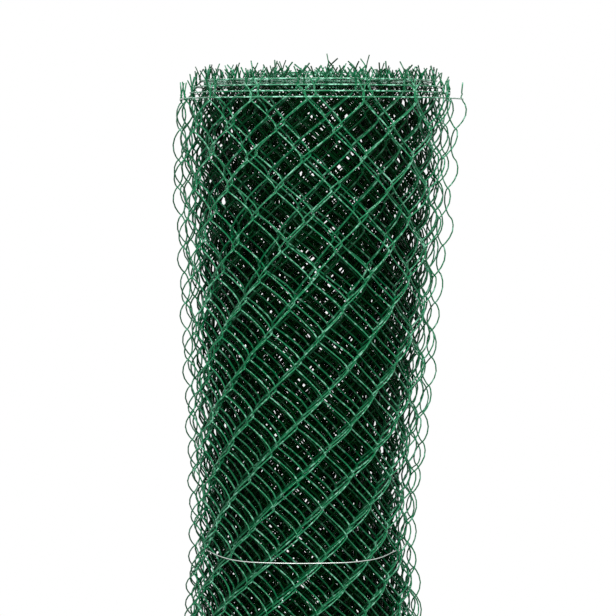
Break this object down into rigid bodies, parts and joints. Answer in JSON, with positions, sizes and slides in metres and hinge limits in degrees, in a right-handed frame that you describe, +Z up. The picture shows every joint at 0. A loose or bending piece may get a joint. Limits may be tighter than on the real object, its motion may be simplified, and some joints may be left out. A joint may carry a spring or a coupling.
{
  "type": "roll of chain-link fencing",
  "caption": "Upright roll of green plastic-coated chain-link fencing with twisted upper tips, line wires and a tie wire pinching its middle, wound round an open bore.",
  "frame": {"origin": "on the roll's axis, at the foot of its outermost turn", "axes": "+Z up along the roll's axis, the way the inner turns stand proud; -Y towards the picture's viewer; +X to that viewer's right, where the fabric's outer end lies"},
  "size_m": [0.3799, 0.38, 1.284],
  "materials": {
    "green_pvc": "glossy moss-green plastic coating on steel wire",
    "green_pvc_wire": "glossy moss-green plastic coating on steel wire",
    "galvanised_wire": "dull galvanised soft steel wire"
  },
  "bodies": {
    "root": {"fence_roll": "green_pvc", "line_wire_top": "green_pvc_wire", "line_wire_bottom": "green_pvc_wire", "tie_wire": "galvanised_wire"}
  },
  "joints": []
}
